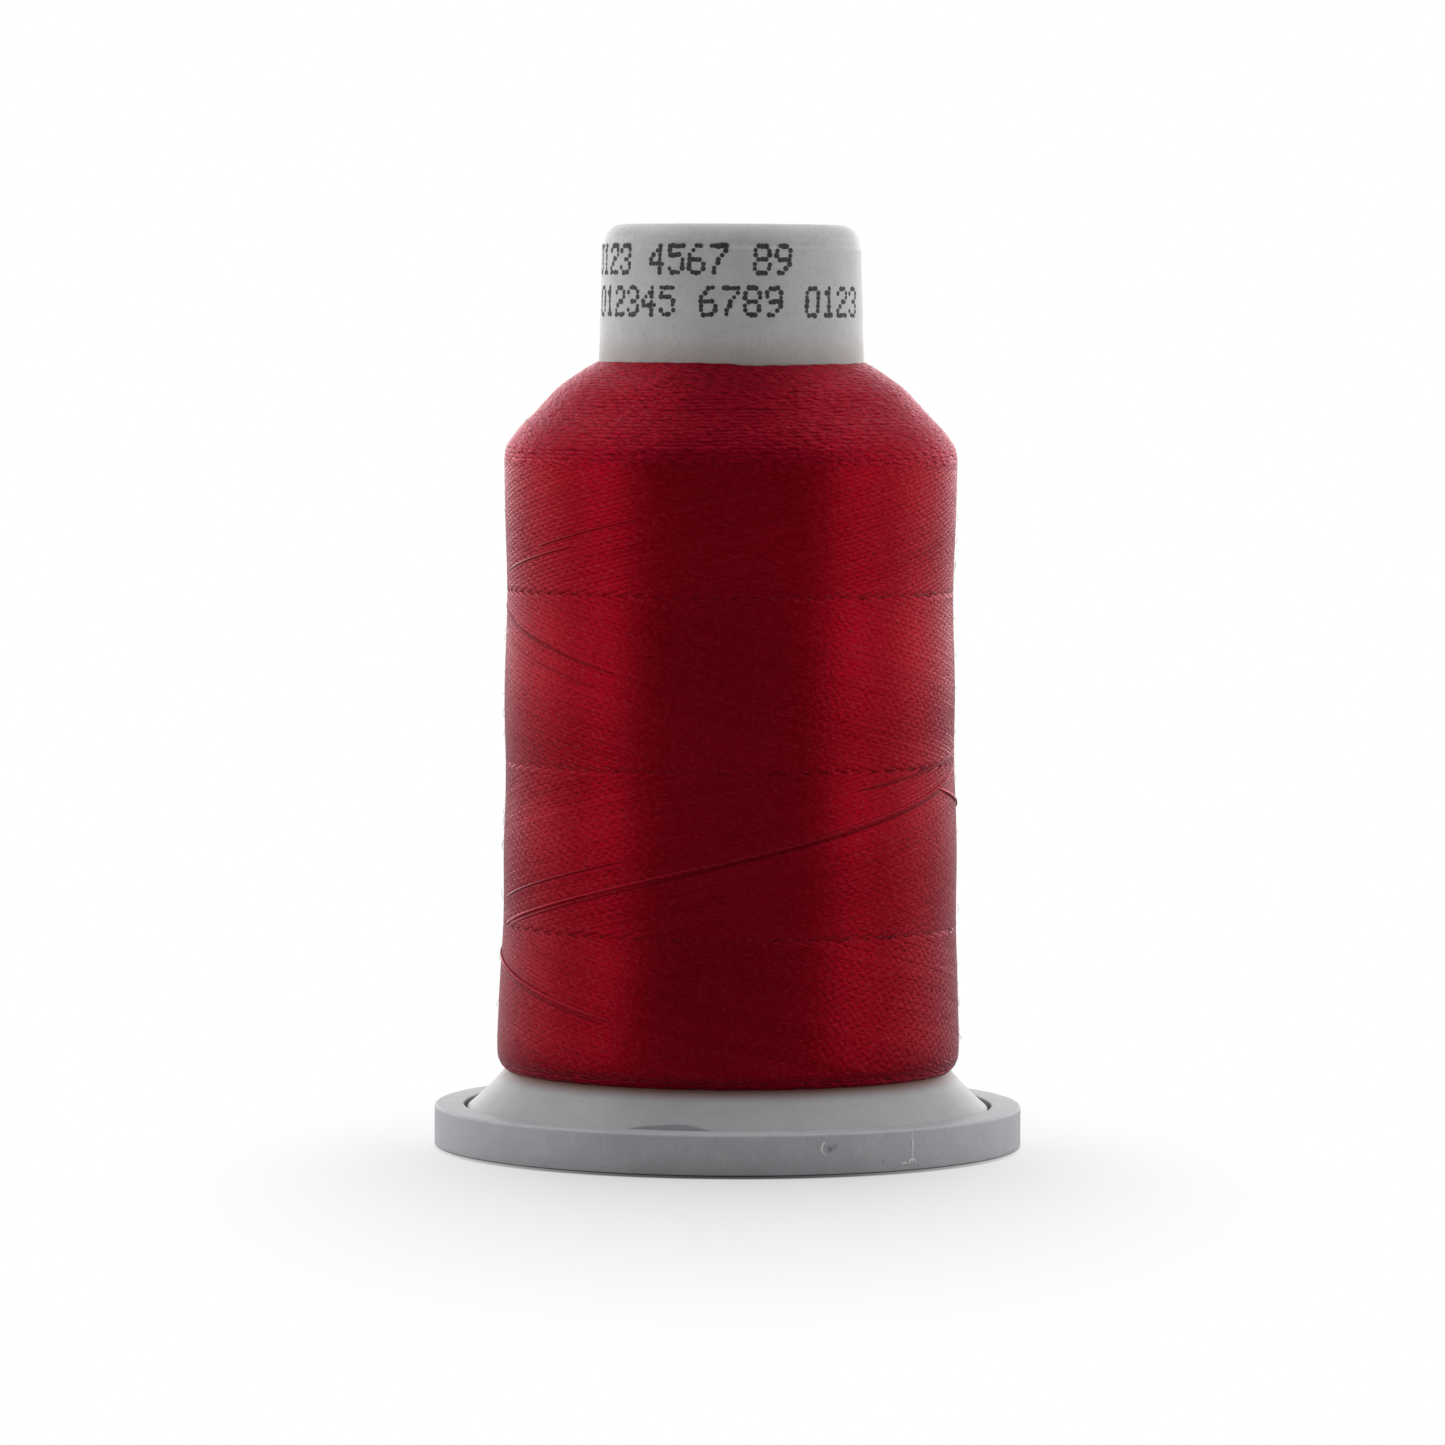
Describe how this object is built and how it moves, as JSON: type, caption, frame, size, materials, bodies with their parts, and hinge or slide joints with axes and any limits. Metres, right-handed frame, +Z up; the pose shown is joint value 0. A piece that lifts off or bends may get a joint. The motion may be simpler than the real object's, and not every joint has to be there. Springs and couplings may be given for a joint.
{
  "type": "spool of thread",
  "caption": "Tall flanged spool of embroidery thread with a tubular core, a flared foot, a slide-down snap base that locks the loose end, and a full winding with a sloped shoulder.",
  "frame": {"origin": "centre of the base's foot ring, on the surface the spool stands on", "axes": "+Z up along the spool's axis, from the snap base to the neck; -Y faces the viewer, with the thumbnail notch a little to its left"},
  "size_m": [0.054, 0.054, 0.0846],
  "materials": {
    "core_plastic": "satin moulded, light grey",
    "base_plastic": "satin moulded, cool light grey",
    "thread": "silky spun filament, deep crimson"
  },
  "bodies": {
    "base": {"snap_base": "base_plastic"},
    "spool": {"spool_core": "core_plastic", "thread_package": "thread", "thread_outer_layer": "thread"}
  },
  "joints": [
    {"name": "snap_lock", "type": "slide", "parent": "base", "child": "spool", "axis": [0, 0, 1], "range_m": [0, 0.003]}
  ]
}
